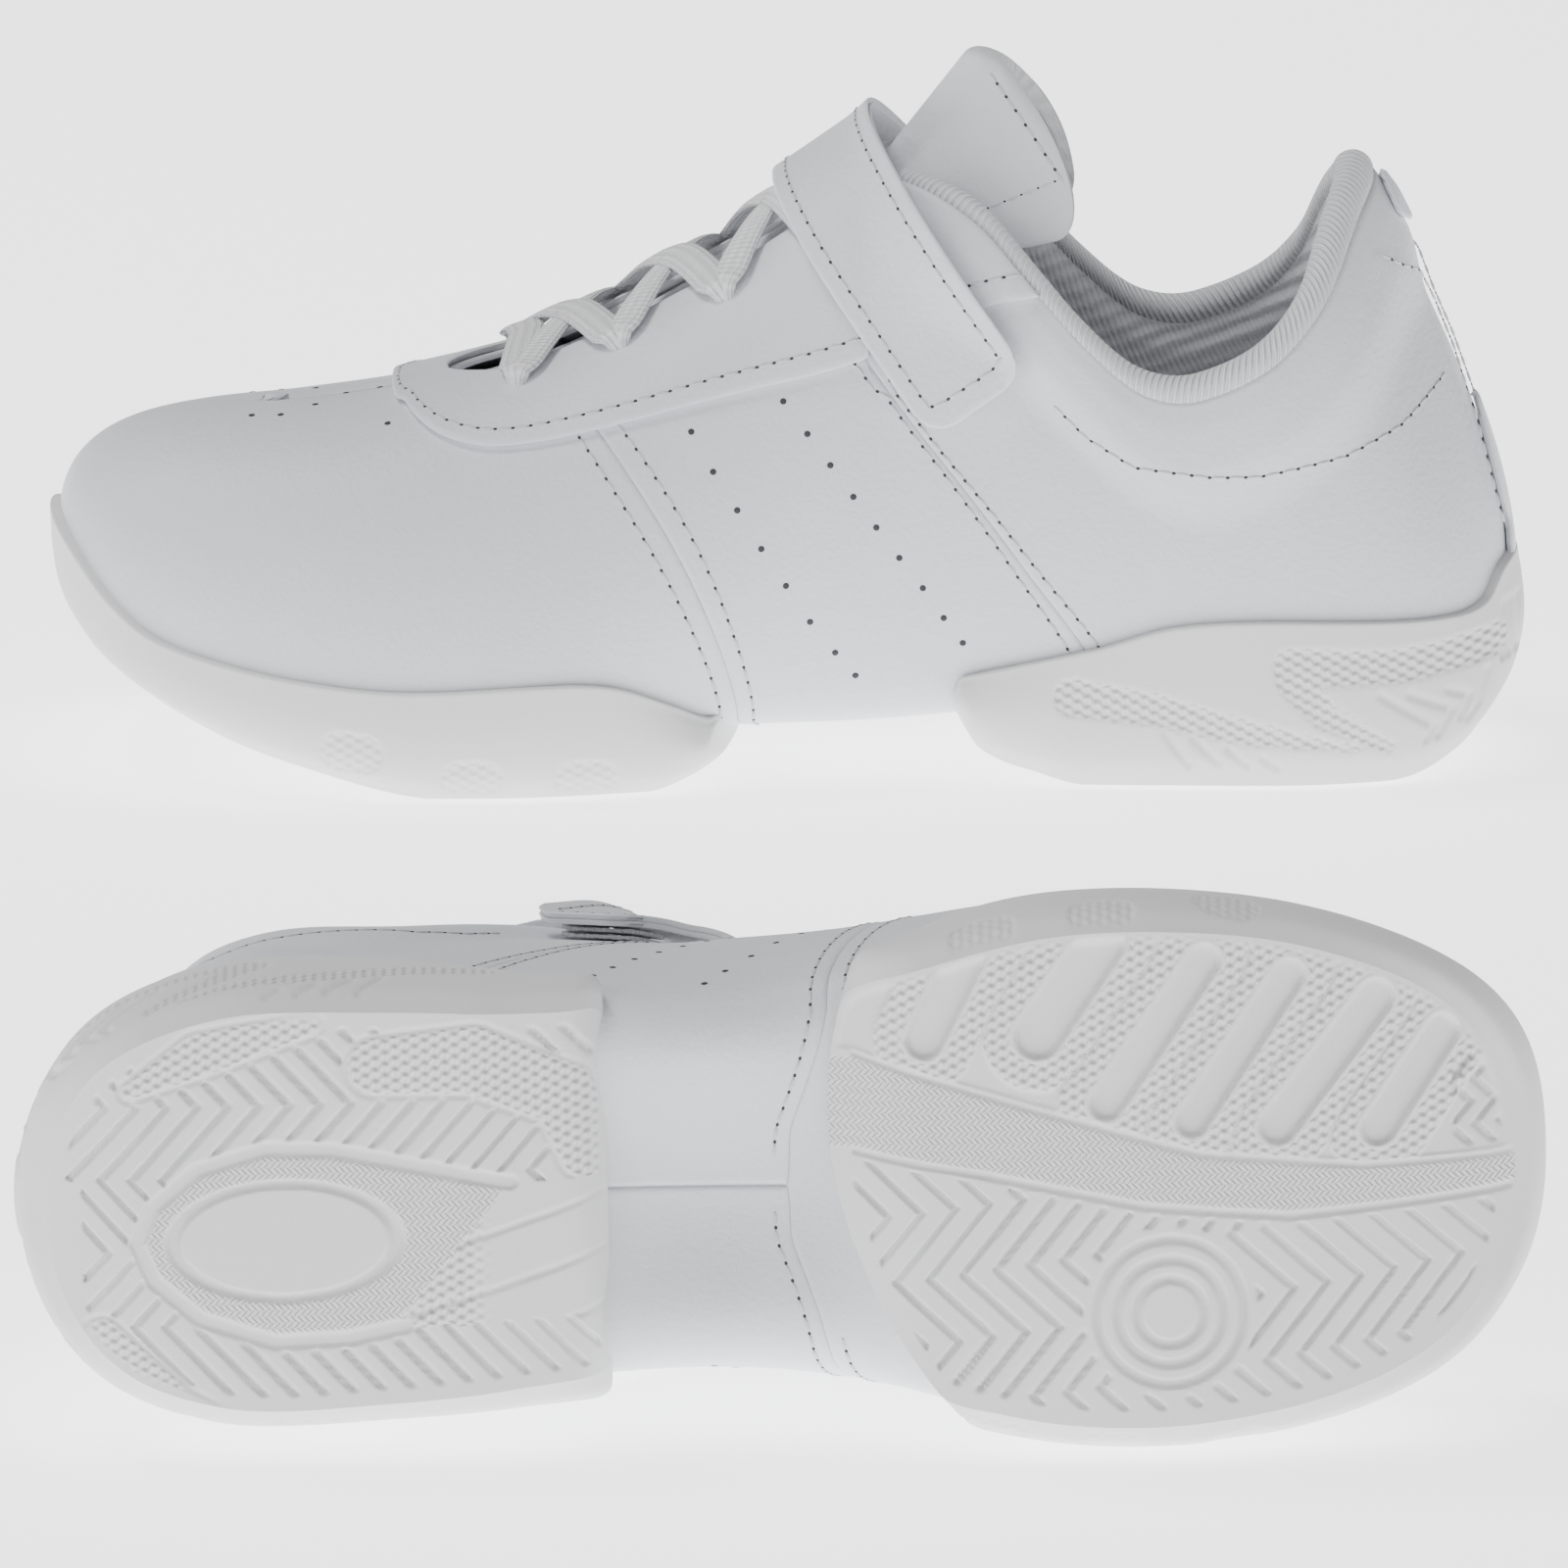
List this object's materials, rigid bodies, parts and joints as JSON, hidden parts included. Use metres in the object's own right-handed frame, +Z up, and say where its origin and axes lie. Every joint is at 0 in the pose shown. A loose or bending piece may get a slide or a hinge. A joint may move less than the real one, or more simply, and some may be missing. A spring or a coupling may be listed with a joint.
{
  "type": "cheer shoes",
  "caption": "Low white split-sole cheer shoes with elastic lacing, a padded collar and a hook-and-loop instep strap; one stands, its mate lies with its sole to the front.",
  "frame": {"origin": "middle of the bounding box, on the floor", "axes": "+X towards the lying shoe's toe, +Y from the lying shoe to the standing one, +Z up"},
  "size_m": [0.2712, 0.6106, 0.1323],
  "materials": {
    "white_leather": "fine pebbled, semi-matte",
    "strap_leather": "fine pebbled, semi-matte",
    "sole_rubber": "matte moulded",
    "lining_fabric": "ribbed knit",
    "binding_knit": "ribbed knit",
    "insole_fabric": "smooth knit",
    "foam": "open foam",
    "stiffener": "stiffened felt",
    "board": "fibre board",
    "elastic_lace": "flat braid",
    "hook_and_loop": "hook and loop tape"
  },
  "bodies": {
    "left_heel": {"left_heel_sole": "sole_rubber", "left_lasting_board": "board", "left_insole": "insole_fabric", "left_saddle_outer": "white_leather", "left_saddle_inner": "white_leather", "left_quarter_outer": "white_leather", "left_quarter_inner": "white_leather", "left_saddle_lining_outer": "lining_fabric", "left_saddle_lining_inner": "lining_fabric", "left_quarter_lining": "lining_fabric", "left_heel_counter": "stiffener", "left_collar_foam": "foam", "left_collar_binding": "binding_knit", "left_backstay": "white_leather", "left_eyestay": "white_leather", "left_strap_anchor": "strap_leather", "left_loop_patch": "hook_and_loop", "left_lace": "elastic_lace"},
    "left_forefoot": {"left_forefoot_sole": "sole_rubber", "left_vamp": "white_leather", "left_vamp_lining": "lining_fabric", "left_toe_puff": "stiffener"},
    "left_tongue": {"left_tongue_face": "white_leather", "left_tongue_padding": "foam", "left_tongue_lining": "lining_fabric"},
    "left_strap": {"left_strap": "strap_leather", "left_hook_patch": "hook_and_loop"},
    "right_heel": {"right_heel_sole": "sole_rubber", "right_lasting_board": "board", "right_insole": "insole_fabric", "right_saddle_outer": "white_leather", "right_saddle_inner": "white_leather", "right_quarter_outer": "white_leather", "right_quarter_inner": "white_leather", "right_saddle_lining_outer": "lining_fabric", "right_saddle_lining_inner": "lining_fabric", "right_quarter_lining": "lining_fabric", "right_heel_counter": "stiffener", "right_collar_foam": "foam", "right_collar_binding": "binding_knit", "right_backstay": "white_leather", "right_eyestay": "white_leather", "right_strap_anchor": "strap_leather", "right_loop_patch": "hook_and_loop", "right_lace": "elastic_lace"},
    "right_forefoot": {"right_forefoot_sole": "sole_rubber", "right_vamp": "white_leather", "right_vamp_lining": "lining_fabric", "right_toe_puff": "stiffener"},
    "right_tongue": {"right_tongue_face": "white_leather", "right_tongue_padding": "foam", "right_tongue_lining": "lining_fabric"},
    "right_strap": {"right_strap": "strap_leather", "right_hook_patch": "hook_and_loop"}
  },
  "joints": [
    {"name": "left_arch_flex", "type": "hinge", "parent": "left_heel", "child": "left_forefoot", "pos_m": [-0.06805, 0.25762, 0.064], "axis": [0, -1, 0], "range_deg": [0, 12], "stiffness_Nm_per_rad": 2, "deforming": ["left_saddle_outer", "left_saddle_inner", "left_saddle_lining_outer", "left_saddle_lining_inner", "left_eyestay", "left_lace", "left_insole", "left_lasting_board"]},
    {"name": "left_tongue_tilt", "type": "hinge", "parent": "left_heel", "child": "left_tongue", "pos_m": [-0.06705, 0.25762, 0.062], "axis": [0, 1, 0], "range_deg": [0, 6]},
    {"name": "left_strap_open", "type": "hinge", "parent": "left_heel", "child": "left_strap", "pos_m": [0.00648, 0.25762, 0.1137], "axis": [-0.8147, 0, -0.5798], "range_deg": [0, 110]},
    {"name": "right_arch_flex", "type": "hinge", "parent": "right_heel", "child": "right_forefoot", "pos_m": [0.06804, -0.23853, 0.04423], "axis": [0.0261, -0.068, -0.9973], "range_deg": [0, 12], "stiffness_Nm_per_rad": 2, "deforming": ["right_saddle_outer", "right_saddle_inner", "right_saddle_lining_outer", "right_saddle_lining_inner", "right_eyestay", "right_lace", "right_insole", "right_lasting_board"]},
    {"name": "right_tongue_tilt", "type": "hinge", "parent": "right_heel", "child": "right_tongue", "pos_m": [0.06704, -0.24053, 0.04434], "axis": [-0.0261, 0.068, 0.9973], "range_deg": [0, 6]},
    {"name": "right_strap_open", "type": "hinge", "parent": "right_heel", "child": "right_strap", "pos_m": [-0.00637, -0.18894, 0.0389], "axis": [-0.8134, 0.5785, -0.0608], "range_deg": [0, 110]},
    {"name": "pair_spacing", "type": "slide", "parent": "left_heel", "child": "right_heel", "axis": [0, 1, 0], "range_m": [0, 0.34]}
  ]
}
